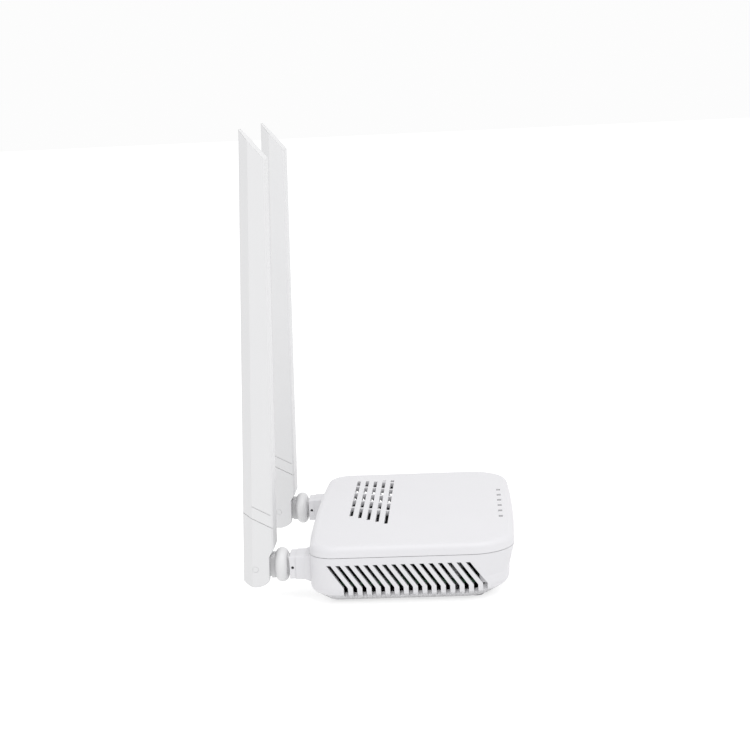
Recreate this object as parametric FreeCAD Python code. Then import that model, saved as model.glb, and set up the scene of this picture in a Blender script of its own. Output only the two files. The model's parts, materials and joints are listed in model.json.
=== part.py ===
import FreeCAD, Part
import math
import os
from FreeCAD import Vector

# A two-antenna Wi-Fi optical network terminal.
# X runs across the case, -Y is the front (indicator side), +Y the rear (port and antenna side), +Z up.
# Everything is drawn about the centre of the case's footprint, on the table; export() then
# moves it so that the origin is the centre of the whole object's footprint, antennas included.

# ---- Case, mm ----
case_width = 123.0
case_depth = 87.0
case_height = 25.5
seam_z = 20.8
seam_gap = 0.15
wall = 2.0
rear_corner = 11.0
rear_bow = 3.0
front_corner = 18.0
front_bow = 2.5
corner_shrink = 0.87
foot_height = 0.8
bevel_run = 7.5
bevel_blend = 4.0
bevel_angle = 56.0
front_setback = 2.4
setback_z = 11.0
top_round = 2.6
lip_height = 1.35

# ---- Side louvres ----
louvre_count = 16
louvre_pitch = 3.79
louvre_first_y = 30.4
louvre_mid_z = 12.85
louvre_half = 4.8
louvre_width = 1.75
louvre_lean = 0.70
groove_low_z = 2.4
groove_depth = 4.6

# ---- Vents and indicator windows in the top cover ----
vent_rows = 5
vent_row_pitch = 3.93
vent_first_y = 27.1
vent_width = 1.5
vent_near_x = -14.3
vent_near_step = -3.4
vent_far_x = 47.0
rib_first_x = 0.8
rib_step = -1.9
rib_pitch = 12.4
rib_width = 1.6
led_count = 6
led_first_x = -21.4
led_pitch = 8.88
led_y = -37.7
led_long = 2.6
led_wide = 1.6

# ---- Circuit board ----
board_z = 6.4
board_thick = 1.6
board_top = board_z + board_thick
board_half = 53.0
board_front = -37.4
board_front_half = 32.0
board_side_front = -26.0
board_rear = 38.2
screw_x = 49.0
screw_ys = (33.0, -18.0)
screw_r = 1.3
foot_x = 48.0
foot_ys = (26.8, -26.2)
foot_r = 3.2

# ---- Rear ports, by the X of each centre ----
jack_face = case_depth / 2 - 0.2
dc_x = 32.0
power_x = 21.0
reset_x = 15.6
lan_xs = (5.5, -11.5)
fibre_x = -29.0
lan_width = 15.8
lan_height = 11.6
lan_depth = 16.0
port_z = board_top + lan_height / 2
button_side = 6.6
button_z = 12.8
dc_z = 13.0
dc_pin_r = 1.0
dc_pin_round = 0.6
fibre_z = 13.4

# ---- Antennas ----
antenna_x = 45.0
axis_z = 14.2
boss_width = 12.0
boss_height = 10.0
boss_end = 48.3
socket_end = 50.9
spigot_side = 7.0
shaft_r = 3.0
shaft_play = 0.1
dimple_r = 0.6
dimple_depth = 2.2
disc_front = 51.8
disc_rear = 56.9
disc_r = 7.2
pin_y = 64.9
pin_r = 1.2
tongue_half = 2.5
tongue_height = 9.9
tongue_end_r = 4.3
tongue_root = 1.8
fork_gap = 0.3
blade_rear = 70.25
blade_front = 57.1
hinge_front = 59.2
blade_half = 7.0
left_lean = 2.4
right_lean = 1.8
blade_end_r = 7.6
blade_top = 195.0
tip_drop = 12.6
blade_taper = 0.9
blade_wall = 1.4
joint_rear_z = axis_z + 23.8
joint_front_z = axis_z + 17.4
joint_gap = 0.15
trim_lift = 5.1
trim_groove = 0.25
trim_depth = 0.2

lean = math.radians(max(left_lean, right_lean))
heel_y = blade_rear - pin_y
heel_z = math.sqrt(blade_end_r ** 2 - heel_y ** 2)
rear_reach = pin_y + heel_y * math.cos(lean) + heel_z * math.sin(lean)
origin_y = (rear_reach - case_depth / 2) / 2


def export(name, shape):
    """Write one named piece, moved into the frame of the whole object."""
    moved = shape.copy()
    moved.translate(Vector(0, -origin_y, 0))
    moved.exportStep("parts/%s.step" % name)


def block(x0, x1, y0, y1, z0, z1):
    return Part.makeBox(x1 - x0, y1 - y0, z1 - z0, Vector(x0, y0, z0))


def bar(x, y, z, across, along, tall):
    """A box centred on x and y, standing on z."""
    return block(x - across / 2, x + across / 2, y - along / 2, y + along / 2, z, z + tall)


def rod(radius, length, start, direction):
    return Part.makeCylinder(radius, length, start, direction)


def upright(radius, x, y, z0, z1):
    return rod(radius, z1 - z0, Vector(x, y, z0), Vector(0, 0, 1))


def joined(shapes):
    """One solid from overlapping shapes."""
    whole = shapes[0]
    if len(shapes) > 1:
        whole = shapes[0].multiFuse(shapes[1:])
    return whole.removeSplitter()


def soften(shape, radius, chosen):
    """Round the straight edges whose direction and middle satisfy the test."""
    edges = []
    for edge in shape.Edges:
        if len(edge.Vertexes) == 2:
            a = edge.Vertexes[0].Point
            b = edge.Vertexes[1].Point
            if chosen((b - a).normalize(), (a + b) * 0.5):
                edges.append(edge)
    return shape.makeFillet(radius, edges)


def prism_yz(points, x0, x1):
    """A polygon in the YZ plane, given as (y, z), pulled from x0 to x1."""
    corners = [Vector(x0, y, z) for y, z in points]
    face = Part.Face(Part.makePolygon(corners + corners[:1]))
    return face.extrude(Vector(x1 - x0, 0, 0))


# ---------------------------------------------------------------- case shells

def setback(z):
    """How far the front wall has drawn back from the widest outline at height z."""
    share = (seam_z - z) / (seam_z - setback_z)
    return front_setback * min(max(share, 0.0), 1.0)


def corner_spots(side, end, radius, bow, across, along, z):
    """Three points round one corner of the plan, from its straight side to its bowed end."""
    bend = math.radians(bow)
    turn = math.pi / 2 - bend
    x = side - radius
    half_chord = x + radius * math.sin(bend)
    sag = half_chord * math.tan(bend / 2)
    y = end - sag - radius * math.cos(bend)
    return [Vector(across * (x + radius * math.cos(a)), along * (y + radius * math.sin(a)), z)
            for a in (0, turn / 2, turn)]


def outline(z, inset):
    """The case's plan at height z, inset from its widest outline: straight sides, bowed front and rear."""
    side = case_width / 2 - inset
    rear = case_depth / 2 - inset
    front = case_depth / 2 - inset - setback(z)
    shrink = corner_shrink * inset
    back_right = corner_spots(side, rear, rear_corner - shrink, rear_bow, 1, 1, z)
    back_left = corner_spots(side, rear, rear_corner - shrink, rear_bow, -1, 1, z)
    fore_left = corner_spots(side, front, front_corner - shrink, front_bow, -1, -1, z)
    fore_right = corner_spots(side, front, front_corner - shrink, front_bow, 1, -1, z)
    return Part.Wire([
        Part.Arc(*back_right).toShape(),
        Part.Arc(back_right[2], Vector(0, rear, z), back_left[2]).toShape(),
        Part.Arc(*reversed(back_left)).toShape(),
        Part.LineSegment(back_left[0], fore_left[0]).toShape(),
        Part.Arc(*fore_left).toShape(),
        Part.Arc(fore_left[2], Vector(0, -front, z), fore_right[2]).toShape(),
        Part.Arc(*reversed(fore_right)).toShape(),
        Part.LineSegment(fore_right[0], back_right[0]).toShape(),
    ])


def shell_solid(sections):
    """A solid through plan outlines given as (z, inset), from the bottom up."""
    return Part.makeLoft([outline(z, inset) for z, inset in sections], True, True)


def lower_sections(extra):
    """The lower shell's outside: flat base, sloping bevel, a blend, then the upright wall."""
    turn = math.radians(bevel_angle)
    slope = math.tan(math.radians(90 - bevel_angle))
    blend_inset = bevel_blend * (1 - math.cos(turn))
    blend_z = foot_height + (bevel_run - blend_inset) * slope
    wall_z = blend_z + bevel_blend * math.sin(turn)
    sections = [(foot_height, bevel_run + 0.6 + extra), (foot_height + 0.35, bevel_run - 0.4 + extra)]
    steps = 6
    for step in range(steps + 1):
        a = turn * (1 - step / steps)
        sections.append((wall_z - bevel_blend * math.sin(a), bevel_blend * (1 - math.cos(a)) + extra))
    sections.append((setback_z, extra))
    sections.append((seam_z - seam_gap / 2, extra))
    return sections


def slanted_louvre(y_mid, x0, x1):
    half = louvre_width / 2
    top = y_mid + louvre_half * louvre_lean
    low = y_mid - louvre_half * louvre_lean
    z_top = louvre_mid_z + louvre_half
    z_low = louvre_mid_z - louvre_half
    corners = [(low - half, z_low), (low + half, z_low), (top + half, z_top), (top - half, z_top)]
    return prism_yz(corners, x0, x1)


def louvre_cuts():
    """Every louvre on both sides: a slanted slot through the wall, then a groove down the bevel."""
    cuts = []
    outside = case_width / 2 + 1
    inside = case_width / 2 - wall - 1
    for side in (-1, 1):
        x0, x1 = sorted((side * outside, side * inside))
        deep0, deep1 = sorted((side * outside, side * (case_width / 2 - groove_depth)))
        for index in range(louvre_count):
            y_mid = louvre_first_y - index * louvre_pitch
            y_low = y_mid - louvre_half * louvre_lean
            cuts.append(slanted_louvre(y_mid, x0, x1))
            half = louvre_width / 2
            z_low = louvre_mid_z - louvre_half
            cuts.append(block(deep0, deep1, y_low - half, y_low + half, groove_low_z, z_low + 0.01))
    return cuts


def antenna_boss(side):
    """The square-edged boss on the rear wall that an antenna's socket plugs into."""
    x = side * antenna_x
    wide = boss_width / 2
    tall = boss_height / 2
    rear = case_depth / 2
    body = block(x - wide, x + wide, rear - wall - 1.0, boss_end, axis_z - tall, axis_z + tall)
    body = soften(body, 0.6, lambda way, mid: abs(way.y) > 0.9)
    flare = 0.9
    plans = []
    for y, grow in ((rear - 2.0, flare), (rear + 0.9, 0.0)):
        spots = [Vector(x + dx * (wide + grow), y, axis_z + dz * (tall + grow))
                 for dx, dz in ((-1, -1), (1, -1), (1, 1), (-1, 1))]
        plans.append(Part.makePolygon(spots + spots[:1]))
    return joined([body, Part.makeLoft(plans, True, True)])


def rear_openings():
    """Windows in the rear wall for the ports, the buttons and the antenna sockets."""
    y0 = case_depth / 2 - wall - 1
    y1 = case_depth / 2 + 1
    cuts = []
    for x in lan_xs:
        half = lan_width / 2 + 0.1
        cuts.append(block(x - half, x + half, y0, y1, board_top, board_top + lan_height + 0.1))
    cuts.append(bar(fibre_x, case_depth / 2, fibre_z - 5.3, 12.2, 8.0, 10.6))
    cuts.append(rod(3.6, 6.0, Vector(dc_x, y0, dc_z), Vector(0, 1, 0)))
    hole = button_side / 2 + 0.35
    cuts.append(block(power_x - hole, power_x + hole, y0, y1, button_z - hole, button_z + hole))
    cuts.append(rod(0.9, 6.0, Vector(reset_x, y0, button_z), Vector(0, 1, 0)))
    for side in (-1, 1):
        half = spigot_side / 2 + 0.05
        x = side * antenna_x
        cuts.append(block(x - half, x + half, y0 - 2, boss_end + 1, axis_z - half, axis_z + half))
    return cuts


def bottom_case():
    floor = foot_height + wall
    outside = shell_solid(lower_sections(0))
    inside = shell_solid([(floor, bevel_run + 0.8), (5.8, wall + 1.2), (8.6, wall), (setback_z, wall),
                          (seam_z + 1, wall)])
    lip_low = seam_z - 1.5
    lip_top = seam_z - seam_gap / 2 + lip_height
    lip = shell_solid([(seam_z, 1.1), (lip_top, 1.1)])
    lip = lip.fuse(shell_solid([(lip_low, 1.4), (seam_z, 1.1)]))
    lip = lip.cut(shell_solid([(lip_low - 1, wall), (lip_top + 1, wall)]))
    tray = outside.cut(inside)
    pieces = [tray, lip, antenna_boss(-1), antenna_boss(1)]
    for x in (-screw_x, screw_x):
        for y in screw_ys:
            pieces.append(upright(3.5, x, y, floor - 0.5, board_z))
    case = joined(pieces)
    cuts = louvre_cuts() + rear_openings()
    for x in (-screw_x, screw_x):
        for y in screw_ys:
            cuts.append(upright(1.6, x, y, 0, board_z + 1))
            cuts.append(upright(2.7, x, y, 0, foot_height + 1.3))
    for x in (-foot_x, foot_x):
        for y in foot_ys:
            cuts.append(upright(foot_r, x, y, 0, foot_height + 0.6))
    cuts.append(bar(0, 0, 0, 56.4, 34.4, foot_height + 0.2))
    return case.cut(cuts)


def top_vents():
    cuts = []
    for row in range(vent_rows):
        y = vent_first_y - row * vent_row_pitch
        start = vent_near_x + row * vent_near_step
        rib = rib_first_x + row * rib_step
        while start < vent_far_x - 1:
            stop = min(rib - rib_width / 2, vent_far_x)
            cuts.append(bar((start + stop) / 2, y, case_height - wall - 1, stop - start, vent_width, wall + 2))
            start = rib + rib_width / 2
            rib += rib_pitch
    return cuts


def led_xs():
    return [led_first_x + index * led_pitch for index in range(led_count)]


def top_cover():
    low = seam_z + seam_gap / 2
    round_z = case_height - top_round
    edge = 0.15
    sections = [(low, 0.0), (round_z, edge)]
    steps = 6
    for step in range(1, steps + 1):
        a = math.radians(90 * step / steps)
        sections.append((round_z + top_round * math.sin(a), edge + top_round * (1 - math.cos(a))))
    step_z = low + lip_height
    cover = shell_solid(sections)
    cover = cover.cut(shell_solid([(seam_z, 1.0), (step_z, 1.0)]))
    cover = cover.cut(shell_solid([(step_z - 0.1, wall + 0.2), (case_height - wall, wall + 0.2)]))
    posts = []
    for x in (-screw_x, screw_x):
        for y in screw_ys:
            posts.append(upright(3.0, x, y, board_top + 0.2, case_height - wall + 0.5))
    cover = joined([cover] + posts)
    cuts = top_vents()
    for x in (-screw_x, screw_x):
        for y in screw_ys:
            cuts.append(upright(screw_r, x, y, board_top, board_top + 12))
    for x in led_xs():
        cuts.append(bar(x, led_y, case_height - wall - 1, led_long + 0.1, led_wide + 0.1, wall + 2))
    return cover.cut(cuts)


def feet():
    pads = []
    for x in (-foot_x, foot_x):
        for y in foot_ys:
            pad = upright(foot_r - 0.1, x, y, 0, foot_height + 0.6)
            low = [edge for edge in pad.Edges if edge.BoundBox.ZMax < 0.01]
            pads.append(pad.makeFillet(0.35, low))
    return Part.makeCompound(pads)


def case_screws():
    screws = []
    for x in (-screw_x, screw_x):
        for y in screw_ys:
            head = upright(2.5, x, y, foot_height + 0.2, foot_height + 1.3)
            driver = joined([bar(x, y, 0, 2.6, 0.5, 1.6), bar(x, y, 0, 0.5, 2.6, 1.6)])
            shank = upright(screw_r - 0.02, x, y, foot_height + 1.2, board_top + 9)
            screws.append(joined([head, shank]).cut(driver))
    return Part.makeCompound(screws)


def rating_label():
    return bar(0, 0, foot_height, 56.0, 34.0, 0.15)


# ------------------------------------------------------------ circuit board

def main_board():
    corners = [(-board_half, board_side_front), (-board_front_half, board_front),
               (board_front_half, board_front), (board_half, board_side_front),
               (board_half, board_rear), (-board_half, board_rear)]
    spots = [Vector(x, y, board_z) for x, y in corners]
    board = Part.Face(Part.makePolygon(spots + spots[:1])).extrude(Vector(0, 0, board_thick))
    return board.cut([upright(1.7, x, y, 0, 20) for x in (-screw_x, screw_x) for y in screw_ys])


def chip(x, y, across, along, tall):
    return bar(x, y, board_top, across, along, tall)


def shield_can(x, y, across, along, tall):
    can = chip(x, y, across, along, tall)
    can = soften(can, 0.5, lambda way, mid: mid.z > board_top + tall - 0.01 or abs(way.z) > 0.9)
    return can.cut(bar(x, y, board_top - 1, across - 0.6, along - 0.6, tall + 0.7))


def heat_sink():
    x, y, side = 4.0, 14.0, 20.0
    base_z = board_top + 1.8
    fins = [bar(x, y, base_z, side, side, 1.5)]
    for index in range(7):
        fins.append(bar(x - 9.3 + index * 3.1, y, base_z + 1, 1.2, side, 7.0))
    return joined(fins)


def capacitors():
    cans = []
    for x, y, radius, tall in ((36, 22, 4.0, 9.5), (36, 12, 3.2, 8.5), (27, 16, 3.2, 8.5)):
        can = upright(radius, x, y, board_top, board_top + tall)
        rims = [edge for edge in can.Edges if edge.BoundBox.ZMin > board_top + tall - 0.01]
        cans.append(can.makeFillet(0.5, rims))
    return Part.makeCompound(cans)


def small_parts():
    """Inductors, transformers and memory, each a separate block on the board."""
    sizes = [(26, 3, 7, 7, 4.0), (35, 2, 7, 7, 4.0), (5.5, -4, 12, 9, 1.2),
             (-20, 4, 9, 6, 1.2), (-12, -10, 8, 5, 1.0), (10, -14, 5, 3.2, 1.1)]
    return Part.makeCompound([chip(*size) for size in sizes])


def leds():
    return Part.makeCompound([chip(x, led_y + 0.9, 1.6, 0.8, 0.7) for x in led_xs()])


def light_guide():
    """One clear comb: a pipe from above each LED to its window, held by a bar."""
    pieces = []
    for x in led_xs():
        pieces.append(bar(x, led_y, board_top + 1.2, led_long, led_wide, case_height - board_top - 1.2))
    length = led_pitch * (led_count - 1) + led_long
    middle = led_first_x + led_pitch * (led_count - 1) / 2
    pieces.append(bar(middle, led_y, 16.5, length, led_wide, 2.0))
    return joined(pieces)


# ---------------------------------------------------------------- rear ports

def lan_jack(x):
    half = lan_width / 2
    shell = block(x - half, x + half, jack_face - lan_depth, jack_face, board_top, board_top + lan_height)
    mouth = block(x - 5.95, x + 5.95, jack_face - 13.0, jack_face + 1, port_z - 2.6, port_z + 4.4)
    shoulder = block(x - 3.3, x + 3.3, jack_face - 13.0, jack_face + 1, port_z - 4.1, port_z - 2.5)
    latch = block(x - 1.9, x + 1.9, jack_face - 13.0, jack_face + 1, port_z - 5.0, port_z - 4.0)
    return shell.cut([mouth, shoulder, latch])


def lan_contacts(x):
    """Eight sprung wires that slope down from the socket's roof towards its back."""
    wires = []
    for index in range(8):
        lane = x + (index - 3.5) * 1.02
        roof = port_z + 4.4
        outline_yz = [(jack_face - 4.0, roof), (jack_face - 4.6, roof), (jack_face - 11.4, roof - 2.1),
                      (jack_face - 11.0, roof - 2.4)]
        wires.append(prism_yz(outline_yz, lane - 0.2, lane + 0.2))
    return Part.makeCompound(wires)


fibre_face = case_depth / 2 - 0.5


def fibre_port():
    body = block(fibre_x - 5.9, fibre_x + 5.9, fibre_face - 16, fibre_face, fibre_z - 5.1, fibre_z + 5.1)
    body = soften(body, 0.5, lambda way, mid: abs(way.y) > 0.9)
    mouth = block(fibre_x - 4.6, fibre_x + 4.6, fibre_face - 12, fibre_face + 1, fibre_z - 3.8, fibre_z + 3.8)
    key = block(fibre_x - 1.2, fibre_x + 1.2, fibre_face - 12, fibre_face + 1, fibre_z + 3.7, fibre_z + 4.5)
    stand = block(fibre_x - 3, fibre_x + 3, fibre_face - 15, fibre_face - 6, board_top, fibre_z - 5.0)
    back = rod(2.46, 6.0, Vector(fibre_x, fibre_face - 17, fibre_z), Vector(0, 1, 0))
    return joined([body.cut([mouth, key]), stand]).cut(back)


def fibre_sleeve():
    start = Vector(fibre_x, fibre_face - 16.0, fibre_z)
    sleeve = rod(2.45, 11.2, start, Vector(0, 1, 0))
    return sleeve.cut(rod(1.25, 9.0, start + Vector(0, 3, 0), Vector(0, 1, 0)))


def optical_module():
    """The laser and detector block behind the fibre port."""
    back = fibre_face - 16.0
    block_part = block(fibre_x - 4.5, fibre_x + 4.5, back - 9, back, fibre_z - 4, fibre_z + 4)
    laser = rod(2.8, 5.0, Vector(fibre_x, back - 14, fibre_z), Vector(0, 1, 0))
    detector = rod(2.6, 4.0, Vector(fibre_x + 8, back - 4.5, fibre_z), Vector(-1, 0, 0))
    stand = block(fibre_x - 3, fibre_x + 3, back - 8, back - 1, board_top, fibre_z - 3.9)
    return joined([block_part, laser, detector, stand])


def dc_jack():
    body = block(dc_x - 4.5, dc_x + 4.5, jack_face - 14, jack_face - 2.9, board_top, dc_z + 4.6)
    nose = rod(3.5, 3.0, Vector(dc_x, jack_face - 3, dc_z), Vector(0, 1, 0))
    bore = rod(3.0, 10.6, Vector(dc_x, jack_face - 10, dc_z), Vector(0, 1, 0))
    seat = rod(1.4, 3.0, Vector(dc_x, jack_face - 12, dc_z), Vector(0, 1, 0))
    return joined([body, nose]).cut([bore, seat])


def dc_pin():
    root = rod(1.4, 2.0, Vector(dc_x, jack_face - 12, dc_z), Vector(0, 1, 0))
    pin = joined([root, rod(dc_pin_r, 9.0, Vector(dc_x, jack_face - 10.5, dc_z), Vector(0, 1, 0))])
    tip = [edge for edge in pin.Edges if edge.BoundBox.YMin > jack_face - 1.6]
    return pin.makeFillet(dc_pin_round, tip)


switch_front = case_depth / 2 - 14.0
switch_length = 8.0


def power_switch():
    y0 = switch_front - switch_length
    body = block(power_x - 3.5, power_x + 3.5, y0, switch_front, board_top, button_z + 3.5)
    bore = bar(power_x, switch_front, button_z - 1.35, 2.7, 12.0, 2.7)
    return body.cut(bore)


def power_button():
    """A square cap on a stem that slides in the latching switch."""
    half = button_side / 2
    cap_front = switch_front + 3.0
    cap = block(power_x - half, power_x + half, cap_front, case_depth / 2 + 2.6, button_z - half, button_z + half)
    cap = soften(cap, 0.9, lambda way, mid: abs(way.y) > 0.9)
    cap = cap.makeFillet(0.5, [e for e in cap.Edges if e.BoundBox.YMin > case_depth / 2 + 2.5])
    stem = bar(power_x, switch_front + 0.5, button_z - 1.25, 2.5, 7.0, 2.5)
    return joined([cap, stem])


def reset_switch():
    y0 = case_depth / 2 - wall - 4.2
    body = block(reset_x - 1.75, reset_x + 1.75, y0 - 3.5, y0, board_top, button_z + 1.75)
    return body.cut(rod(0.75, 2.0, Vector(reset_x, y0 - 1.4, button_z), Vector(0, 1, 0)))


def reset_plunger():
    y0 = case_depth / 2 - wall - 4.2
    return rod(0.6, 4.0, Vector(reset_x, y0 - 0.9, button_z), Vector(0, 1, 0))


# ------------------------------------------------------------------ antennas

def antenna_socket(side):
    """The fixed square plug in the case's boss, bored for the swivel's shaft."""
    x = side * antenna_x
    wide = boss_width / 2 - 0.25
    tall = boss_height / 2 - 0.25
    flange = block(x - wide, x + wide, boss_end, socket_end, axis_z - tall, axis_z + tall)
    flange = soften(flange, 0.5, lambda way, mid: abs(way.y) > 0.9)
    grip = spigot_side / 2
    spigot = block(x - grip, x + grip, 40.0, boss_end + 0.5, axis_z - grip, axis_z + grip)
    bore = rod(shaft_r + shaft_play, 14.0, Vector(x, 39.5, axis_z), Vector(0, 1, 0))
    dimple_y = (boss_end + socket_end) / 2
    dimples = [rod(dimple_r, dimple_depth, Vector(x + way * wide, dimple_y, axis_z), Vector(-way, 0, 0))
               for way in (-1, 1)]
    return joined([flange, spigot]).cut([bore] + dimples)


def swivel(side):
    """Snap-in shaft, round grip disc and the tongue that the blade hinges on."""
    x = side * antenna_x
    collar = socket_end + 0.3
    profile = [(0, 38.3), (shaft_r + 0.25, 38.3), (shaft_r + 0.45, 38.8), (shaft_r + 0.45, 39.7),
               (shaft_r, 39.7), (shaft_r, collar), (4.5, collar), (4.5, disc_front)]
    rim = 1.9
    middle = (disc_front + disc_rear) / 2
    edges = []
    spots = [Vector(x + r, y, axis_z) for r, y in profile]
    spots.append(Vector(x + disc_r - rim, disc_front, axis_z))
    for a, b in zip(spots, spots[1:]):
        edges.append(Part.LineSegment(a, b).toShape())
    crest = Vector(x + disc_r, middle, axis_z)
    shoulder = Vector(x + disc_r - rim, disc_rear, axis_z)
    edges.append(Part.Arc(spots[-1], crest, shoulder).toShape())
    centre = Vector(x, disc_rear, axis_z)
    edges.append(Part.LineSegment(shoulder, centre).toShape())
    edges.append(Part.LineSegment(centre, spots[0]).toShape())
    turned = Part.Face(Part.Wire(edges)).revolve(Vector(x, 0, axis_z), Vector(0, 1, 0), 360)
    tall = tongue_height / 2
    root = block(x - tongue_half, x + tongue_half, disc_rear - 1, disc_rear + tongue_root, axis_z - tall, axis_z + tall)
    reach = block(x - tongue_half, x + tongue_half, disc_rear, pin_y, axis_z - tongue_end_r, axis_z + tongue_end_r)
    eye = rod(tongue_end_r, 2 * tongue_half, Vector(x - tongue_half, pin_y, axis_z), Vector(1, 0, 0))
    whole = joined([turned, root, reach, eye])
    pin_hole = rod(pin_r + 0.06, 10.0, Vector(x - 5, pin_y, axis_z), Vector(1, 0, 0))
    cable_way = rod(1.3, 23.0, Vector(x, 37.0, axis_z), Vector(0, 1, 0))
    return whole.cut([pin_hole, cable_way])


def hinge_pin(side):
    x = side * antenna_x
    length = 2 * blade_half - 0.1
    pin = rod(pin_r, length, Vector(x - length / 2, pin_y, axis_z), Vector(1, 0, 0))
    return pin.makeFillet(0.1, [e for e in pin.Edges if len(e.Vertexes) == 1])


def blade_section(z, front, rear, shrink):
    """The blade's eight-sided plan: flat front, straight sides, sides drawn in towards the rear."""
    side = blade_half - shrink
    low = front + shrink
    high = rear - shrink
    facet = 3.9
    cut = 0.7
    half = [(side - cut, low), (side, low + cut), (side, high - facet + shrink * 0.4), (side - 2.9, high)]
    spots = half + [(-x, y) for x, y in reversed(half)]
    corners = [Vector(x, y, z) for x, y in spots]
    return Part.makePolygon(corners + corners[:1])


def blade_body(shrink):
    """The blade's tapering prism, from below the hinge to above the tip."""
    low = blade_section(0, blade_front, blade_rear, shrink)
    high = blade_section(blade_top + 2, blade_front + blade_taper, blade_rear - blade_taper, shrink + 0.5)
    return Part.makeLoft([low, high], True, True)


def side_profile(edges):
    """A closed YZ outline pulled across the blade's width."""
    return Part.Face(Part.Wire(edges)).extrude(Vector(2 * blade_half + 2, 0, 0))


def yz(y, z):
    return Vector(-blade_half - 1, y, z)


def joint_z(y):
    """Height of the slanted joint's plane at depth y."""
    slope = (joint_rear_z - joint_front_z) / (blade_rear - blade_front)
    return joint_front_z + (y - blade_front) * slope


def above_joint(lift):
    """The blade's outline above its slanted joint, up to the sloping, slightly bowed tip."""
    rear = blade_rear + 1
    front = blade_front - 1
    low_rear = yz(rear, joint_z(rear) + lift)
    low_front = yz(front, joint_z(front) + lift)
    tip = yz(blade_rear - blade_taper, blade_top)
    brow = yz(blade_front + blade_taper, blade_top - tip_drop)
    bow = yz((blade_rear + blade_front) / 2 + 0.8, blade_top - tip_drop / 2 + 0.9)
    edges = [
        Part.LineSegment(low_front, low_rear).toShape(),
        Part.LineSegment(low_rear, yz(rear, blade_top)).toShape(),
        Part.LineSegment(yz(rear, blade_top), tip).toShape(),
        Part.Arc(tip, bow, brow).toShape(),
        Part.LineSegment(brow, yz(front, blade_top - tip_drop)).toShape(),
        Part.LineSegment(yz(front, blade_top - tip_drop), low_front).toShape(),
    ]
    return side_profile(edges)


def below_joint():
    """The hinge end: rounded about the pin, with its front drawn back behind the disc."""
    front_drop = math.sqrt(blade_end_r ** 2 - (pin_y - hinge_front) ** 2)
    spots = [(blade_rear, axis_z - heel_z), (blade_rear, joint_rear_z), (blade_front, joint_front_z),
             (blade_front, axis_z + 8.8), (hinge_front, axis_z + 5.4), (hinge_front, axis_z - front_drop)]
    points = [yz(y, z) for y, z in spots]
    edges = [Part.LineSegment(a, b).toShape() for a, b in zip(points, points[1:])]
    edges.append(Part.Arc(points[-1], yz(pin_y, axis_z - blade_end_r), points[0]).toShape())
    return side_profile(edges)


def slanted_slab(lift, thick):
    """A thin layer parallel to the slanted joint."""
    front = blade_front - 2
    rear = blade_rear + 2
    low_front = joint_z(front) + lift
    low_rear = joint_z(rear) + lift
    corners = [(front, low_front), (rear, low_rear), (rear, low_rear + thick), (front, low_front + thick)]
    return prism_yz(corners, -blade_half - 1, blade_half + 1)


def placed_blade(shape, side):
    """Moves a blade piece to its side and leans it forward about its hinge pin."""
    lean_here = right_lean if side > 0 else left_lean
    shape.translate(Vector(side * antenna_x, 0, 0))
    shape.rotate(Vector(0, pin_y, axis_z), Vector(1, 0, 0), lean_here)
    return shape


def blade_sleeve(side):
    sleeve = blade_body(0).common(above_joint(joint_gap))
    hollow = blade_body(blade_wall).common(above_joint(-5)).common(
        block(-20, 20, 0, 120, 0, blade_top - tip_drop - 4))
    flats = block(-20, 20, blade_front + 1.2, blade_rear - 4.2, 0, joint_rear_z + 10)
    groove = slanted_slab(trim_lift, trim_groove).common(flats).cut(blade_body(trim_depth))
    sleeve = sleeve.cut([hollow, groove])
    return placed_blade(sleeve, side)


def blade_base(side):
    base = blade_body(0).common(below_joint())
    collar = blade_body(blade_wall + 0.05).common(slanted_slab(-1, 7.5))
    base = joined([base, collar])
    slot_half = tongue_half + fork_gap
    slot_top = axis_z + tongue_height / 2 + 0.45
    slot = block(-slot_half, slot_half, blade_front - 2, pin_y + tongue_end_r + 0.4, 0, slot_top)
    pin_hole = rod(pin_r, 20.0, Vector(-10, pin_y, axis_z), Vector(1, 0, 0))
    cable_way = upright(1.6, 0, pin_y, slot_top - 1, 50)
    base = base.cut([slot, pin_hole, cable_way])
    return placed_blade(base, side)


def radiator(side):
    """The printed dipole strip inside the sleeve."""
    return placed_blade(bar(0, pin_y - 2.0, 62.0, 7.0, 1.0, 108.0), side)


def blade_lead(side):
    """The stretch of coaxial lead inside the blade, up to the dipole's feed."""
    return placed_blade(upright(0.65, 0, pin_y, axis_z + 6.3, 66.0), side)


def rounded_tube(points, radius):
    """A tube along straight runs joined by tangent arcs as large as the runs allow."""
    edges = []
    here = points[0]
    for before, corner, after in zip(points, points[1:], points[2:]):
        back = (before - corner).normalize()
        ahead = (after - corner).normalize()
        trim = 0.45 * min((before - corner).Length, (after - corner).Length)
        half_turn = (math.pi - back.getAngle(ahead)) / 2
        bend = trim / math.tan(half_turn)
        start = corner + back * trim
        stop = corner + ahead * trim
        middle = (back + ahead).normalize()
        apex = corner + middle * (bend / math.cos(half_turn) - bend)
        edges.append(Part.LineSegment(here, start).toShape())
        edges.append(Part.Arc(start, apex, stop).toShape())
        here = stop
    edges.append(Part.LineSegment(here, points[-1]).toShape())
    path = Part.Wire(edges)
    way = (points[1] - points[0]).normalize()
    ring = Part.Wire(Part.makeCircle(radius, points[0], way))
    return path.makePipeShell([ring], True, True)


def case_lead(side):
    """The antenna lead inside the case, from the swivel's bore to its pad on the board."""
    lead_r = 0.65
    low = board_top + lead_r + 0.1
    x = side * antenna_x
    points = [Vector(x, 50, axis_z), Vector(x, 34, axis_z), Vector(x - side * 2, 19, low),
              Vector(x - side * 3, 2, low)]
    return rounded_tube(points, lead_r)


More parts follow.
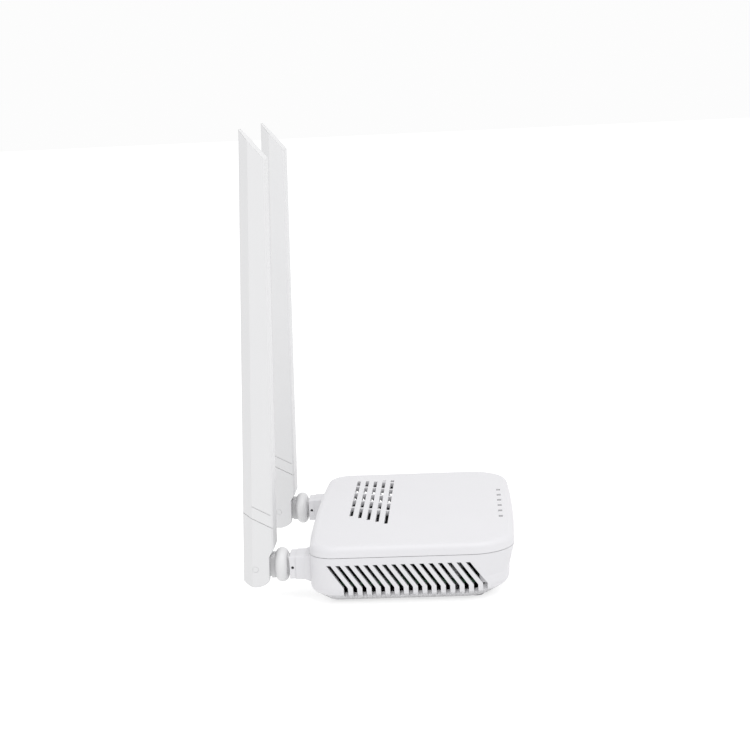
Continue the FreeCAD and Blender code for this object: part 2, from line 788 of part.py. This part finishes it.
def main():
    os.makedirs("parts", exist_ok=True)
    export("bottom_case", bottom_case())
    export("top_cover", top_cover())
    export("rubber_feet", feet())
    export("case_screws", case_screws())
    export("rating_label", rating_label())
    export("main_board", main_board())
    export("processor", chip(4.0, 14.0, 16.0, 16.0, 1.3))
    export("thermal_pad", bar(4.0, 14.0, board_top + 1.3, 15.0, 15.0, 0.5))
    export("heat_sink", heat_sink())
    export("radio_shield", shield_can(-32.0, -14.0, 26.0, 20.0, 2.6))
    export("radio_chip", chip(-32.0, -14.0, 9.0, 9.0, 1.0))
    export("capacitors", capacitors())
    export("board_components", small_parts())
    export("indicator_leds", leds())
    export("light_guide", light_guide())
    for number, x in enumerate(lan_xs, 1):
        export("lan_jack_%d" % number, lan_jack(x))
        export("lan_contacts_%d" % number, lan_contacts(x))
    export("fibre_port", fibre_port())
    export("fibre_sleeve", fibre_sleeve())
    export("optical_module", optical_module())
    export("dc_jack", dc_jack())
    export("dc_centre_pin", dc_pin())
    export("power_switch", power_switch())
    export("power_button", power_button())
    export("reset_switch", reset_switch())
    export("reset_plunger", reset_plunger())
    for hand, side in (("left", -1), ("right", 1)):
        export("antenna_socket_" + hand, antenna_socket(side))
        export("swivel_" + hand, swivel(side))
        export("hinge_pin_" + hand, hinge_pin(side))
        export("blade_base_" + hand, blade_base(side))
        export("blade_sleeve_" + hand, blade_sleeve(side))
        export("radiator_" + hand, radiator(side))
        export("blade_lead_" + hand, blade_lead(side))
        export("case_lead_" + hand, case_lead(side))


main()
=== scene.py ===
import json
import math

import bpy
from mathutils import Matrix, Vector

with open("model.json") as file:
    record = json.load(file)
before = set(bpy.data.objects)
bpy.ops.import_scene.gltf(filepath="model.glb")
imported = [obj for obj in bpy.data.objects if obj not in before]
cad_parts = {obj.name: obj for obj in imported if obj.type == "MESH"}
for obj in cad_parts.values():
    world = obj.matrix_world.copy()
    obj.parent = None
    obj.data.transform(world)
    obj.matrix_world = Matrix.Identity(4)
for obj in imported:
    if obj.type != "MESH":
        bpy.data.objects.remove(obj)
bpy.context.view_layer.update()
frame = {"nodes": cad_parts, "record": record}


# Camera, floor and light

CAMERA_AT = (-0.685986, -0.039072, 0.209934)
CAMERA_YAW = 3.350
CAMERA_PITCH = 10.315
CAMERA_ROLL = -2.720
CAMERA_LENS = 76.8
FLOOR_HALF = 6.0
FLOOR_GLOW = 0.72
SKY_STRENGTH = 0.975
KEY_AT = (-0.45, -0.25, 1.1)
KEY_AIM = (0, 0, 0.05)
KEY_WIDTH = 1.0
KEY_WATTS = 6.0


def camera():
    yaw, pitch, roll = (math.radians(a) for a in (CAMERA_YAW, CAMERA_PITCH, CAMERA_ROLL))
    level = Vector((math.cos(yaw), math.sin(yaw), 0))
    side = Vector((math.sin(yaw), -math.cos(yaw), 0))
    zenith = Vector((0, 0, 1))
    ahead = level * math.cos(pitch) - zenith * math.sin(pitch)
    above = zenith * math.cos(pitch) + level * math.sin(pitch)
    right = side * math.cos(roll) + above * math.sin(roll)
    up = above * math.cos(roll) - side * math.sin(roll)
    data = bpy.data.cameras.new("camera")
    data.lens = CAMERA_LENS
    data.sensor_width = 36.0
    data.clip_start = 0.01
    data.clip_end = 50.0
    seer = bpy.data.objects.new("camera", data)
    bpy.context.scene.collection.objects.link(seer)
    seer.matrix_world = Matrix.Translation(CAMERA_AT) @ Matrix((right, up, -ahead)).transposed().to_4x4()
    bpy.context.scene.camera = seer


def soft_light(name, at, aim, size, watts):
    data = bpy.data.lights.new(name, "AREA")
    data.shape = "DISK"
    data.size = size
    data.energy = watts
    lamp = bpy.data.objects.new(name, data)
    bpy.context.scene.collection.objects.link(lamp)
    lamp.location = at
    lamp.rotation_mode = "QUATERNION"
    lamp.rotation_quaternion = (Vector(aim) - Vector(at)).to_track_quat("-Z", "Y")


def studio():
    world = bpy.data.worlds.new("studio")
    bpy.context.scene.world = world
    world.use_nodes = True
    sky = world.node_tree.nodes["Background"]
    sky.inputs["Color"].default_value = (1.0, 1.0, 1.0, 1)
    sky.inputs["Strength"].default_value = SKY_STRENGTH
    soft_light("key_light", KEY_AT, KEY_AIM, KEY_WIDTH, KEY_WATTS)
    bpy.context.scene.view_settings.view_transform = "Standard"


# Materials

class Shader:
    """A node material under construction: node() adds a node and join() links into it."""

    def __init__(self, name):
        self.material = bpy.data.materials.new(name)
        self.material.use_nodes = True
        self.tree = self.material.node_tree
        self.surface = self.tree.nodes["Principled BSDF"]
        self.where = self.node("ShaderNodeTexCoord").outputs["Object"]

    def node(self, kind, **settings):
        made = self.tree.nodes.new(kind)
        for key, value in settings.items():
            setattr(made, key, value)
        return made

    def join(self, source, target):
        self.tree.links.new(source, target)
        return target

    def noise(self, scale, detail=2.0, rough=0.5):
        made = self.node("ShaderNodeTexNoise")
        self.join(self.where, made.inputs["Vector"])
        made.inputs["Scale"].default_value = scale
        made.inputs["Detail"].default_value = detail
        made.inputs["Roughness"].default_value = rough
        return made.outputs["Fac"]

    def ramp(self, fac, stops):
        made = self.node("ShaderNodeValToRGB")
        self.join(fac, made.inputs["Fac"])
        ends = made.color_ramp.elements
        while len(ends) < len(stops):
            ends.new(0.5)
        for end, (at, colour) in zip(ends, stops):
            end.position = at
            end.color = (*colour, 1)
        return made.outputs["Color"]

    def span(self, value, low, high, start=0.3, stop=0.7):
        made = self.node("ShaderNodeMapRange")
        self.join(value, made.inputs["Value"])
        made.inputs["From Min"].default_value = start
        made.inputs["From Max"].default_value = stop
        made.inputs["To Min"].default_value = low
        made.inputs["To Max"].default_value = high
        return made.outputs["Result"]

    def rounded(self, radius):
        """The surface's own normal, turned softly over its edges."""
        made = self.node("ShaderNodeBevel", samples=6)
        made.inputs["Radius"].default_value = radius
        return made.outputs["Normal"]

    def painted_hollow_shade(self, colour, reach, closed, opened):
        """Paints shade into a colour: sinks it to near black where the surface faces into a closed
        cavity, by ambient occlusion.
        """
        made = self.node("ShaderNodeAmbientOcclusion", samples=8)
        made.inputs["Distance"].default_value = reach
        shadow = self.ramp(made.outputs["AO"], ((closed, (0.02, 0.02, 0.02)), (opened, (1, 1, 1))))
        mix = self.node("ShaderNodeMixRGB", blend_type="MULTIPLY")
        mix.inputs["Fac"].default_value = 1.0
        self.join(colour, mix.inputs["Color1"])
        self.join(shadow, mix.inputs["Color2"])
        return mix.outputs["Color"]

    def bump(self, height, distance, strength=1.0, under=None):
        made = self.node("ShaderNodeBump")
        self.join(height, made.inputs["Height"])
        made.inputs["Distance"].default_value = distance
        made.inputs["Strength"].default_value = strength
        if under is not None:
            self.join(under, made.inputs["Normal"])
        return made.outputs["Normal"]


def shade(colour, factor):
    return tuple(min(1.0, c * factor) for c in colour)


def moulded(name, colour, rough, spread=0.03, grain=2600.0, depth=0.00001, metal=0.0, cloud=45.0,
            edge=0.00015, hollow_shade=None):
    """Moulded or pressed stuff: a slow drift of colour, a fine grain that sets the gloss, a faint bump.

    hollow_shade, where given, is the reach and the two levels of openness between which the colour sinks
    to near black: painted shade inside closed cavities.
    """
    made = Shader(name)
    drift = made.noise(cloud, 3.0)
    speck = made.noise(grain, 3.0, 0.6)
    stops = ((0.3, shade(colour, 1 - spread)), (0.55, colour), (0.75, shade(colour, 1 + spread)))
    tone = made.ramp(drift, stops)
    # Painted shade: the colour darkens to near black where the surface looks into the cavity of the
    # case.
    if hollow_shade:
        tone = made.painted_hollow_shade(tone, *hollow_shade)
    made.join(tone, made.surface.inputs["Base Color"])
    made.join(made.span(speck, rough * 0.88, rough * 1.12), made.surface.inputs["Roughness"])
    made.join(made.bump(speck, depth, under=made.rounded(edge)), made.surface.inputs["Normal"])
    made.surface.inputs["Metallic"].default_value = metal
    return made.material


WHITE = (0.640, 0.636, 0.655)
PALE = (0.640, 0.640, 0.647)
# Painted shade: reach and openness levels at which the shell and shield colours sink to near black
# inside the case.
SHELL_HOLLOW_SHADE = (0.05, 0.03, 0.10)
SHIELD_HOLLOW_SHADE = (0.06, 0.20, 0.90)
FINISHES = {
    "white_shell": dict(colour=WHITE, rough=0.46, spread=0.006, grain=3000.0, depth=0.000012,
                        edge=0.0003, hollow_shade=SHELL_HOLLOW_SHADE),
    "antenna_white": dict(colour=PALE, rough=0.42, spread=0.006, grain=3000.0, depth=0.000008,
                          edge=0.0004),
    "foot_rubber": dict(colour=(0.30, 0.30, 0.31), rough=0.82, spread=0.10, grain=1800.0, depth=0.00003),
    "screw_steel": dict(colour=(0.42, 0.42, 0.43), rough=0.34, spread=0.08, metal=1.0),
    "label_film": dict(colour=(0.66, 0.67, 0.69), rough=0.36, spread=0.02),
    "chip_black": dict(colour=(0.018, 0.018, 0.020), rough=0.62, spread=0.20, grain=4000.0),
    "thermal_grey": dict(colour=(0.30, 0.33, 0.40), rough=0.88, spread=0.08, depth=0.00003),
    # Painted shade: the heat sink is drawn near black and not metallic, standing in for the dark inside
    # of the case seen through the louvres.
    "sink_aluminium": dict(colour=(0.040, 0.040, 0.043), rough=0.60, spread=0.10),
    "shield_steel": dict(colour=(0.30, 0.30, 0.29), rough=0.45, spread=0.05, metal=1.0,
                         hollow_shade=SHIELD_HOLLOW_SHADE),
    "capacitor_can": dict(colour=(0.03, 0.035, 0.05), rough=0.40, spread=0.15),
    "led_body": dict(colour=(0.72, 0.72, 0.62), rough=0.30, spread=0.05),
    "jack_black": dict(colour=(0.022, 0.022, 0.024), rough=0.50, spread=0.15, grain=2400.0),
    "contact_gold": dict(colour=(0.80, 0.60, 0.26), rough=0.24, spread=0.05, metal=1.0),
    "fibre_green": dict(colour=(0.035, 0.23, 0.075), rough=0.42, spread=0.06),
    "ceramic_white": dict(colour=(0.78, 0.78, 0.74), rough=0.25, spread=0.02),
    "module_metal": dict(colour=(0.50, 0.49, 0.47), rough=0.36, spread=0.06, metal=1.0),
    "button_grey": dict(colour=(0.52, 0.52, 0.53), rough=0.48, spread=0.03),
    "lead_grey": dict(colour=(0.10, 0.10, 0.105), rough=0.55, spread=0.08),
    "radiator_copper": dict(colour=(0.70, 0.36, 0.20), rough=0.36, spread=0.08, metal=1.0),
}


def board_material():
    """Green solder mask over a pattern of lighter copper runs."""
    made = Shader("board_green")
    cells = made.node("ShaderNodeTexVoronoi", feature="DISTANCE_TO_EDGE", distance="CHEBYCHEV")
    made.join(made.where, cells.inputs["Vector"])
    cells.inputs["Scale"].default_value = 260.0
    runs = made.span(cells.outputs["Distance"], 0.0, 1.0, 0.03, 0.12)
    stops = ((0.0, (0.030, 0.17, 0.060)), (1.0, (0.010, 0.075, 0.028)))
    made.join(made.ramp(runs, stops), made.surface.inputs["Base Color"])
    made.join(made.bump(runs, -0.00003), made.surface.inputs["Normal"])
    made.join(made.span(made.noise(900.0), 0.28, 0.40), made.surface.inputs["Roughness"])
    return made.material


def pipe_material():
    """Smoked, slightly cloudy acrylic of the light guide."""
    made = Shader("light_pipe")
    stops = ((0.3, (0.15, 0.15, 0.16)), (0.7, (0.20, 0.20, 0.21)))
    made.join(made.ramp(made.noise(700.0, 2.0), stops), made.surface.inputs["Base Color"])
    made.join(made.span(made.noise(1500.0), 0.10, 0.18), made.surface.inputs["Roughness"])
    made.surface.inputs["Coat Weight"].default_value = 0.4
    return made.material


def floor_material():
    made = Shader("paper_white")
    stops = ((0.3, (0.41, 0.41, 0.41)), (0.7, (0.43, 0.43, 0.43)))
    made.join(made.ramp(made.noise(30.0, 2.0), stops), made.surface.inputs["Base Color"])
    made.surface.inputs["Roughness"].default_value = 0.95
    made.surface.inputs["Specular IOR Level"].default_value = 0.0
    made.surface.inputs["Emission Color"].default_value = (1, 1, 1, 1)
    made.surface.inputs["Emission Strength"].default_value = FLOOR_GLOW
    return made.material


# Meshes

def floor():
    mesh = bpy.data.meshes.new("floor")
    ring = [(-1, -1), (1, -1), (1, 1), (-1, 1)]
    mesh.from_pydata([(x * FLOOR_HALF, y * FLOOR_HALF, 0) for x, y in ring], [], [(0, 1, 2, 3)])
    made = bpy.data.objects.new("floor", mesh)
    bpy.context.scene.collection.objects.link(made)
    mesh.materials.append(floor_material())


def dress(node, material):
    """Gives a CAD node its finish."""
    mesh = frame["nodes"][node].data
    mesh.materials.clear()
    mesh.materials.append(material)


finish = {name: moulded(name, **look) for name, look in FINISHES.items()}
finish["board_green"] = board_material()
finish["light_pipe"] = pipe_material()

camera()
studio()
floor()
for part in frame["record"]["subparts"]:
    dress(part["node"], finish[part["material_slot"]])
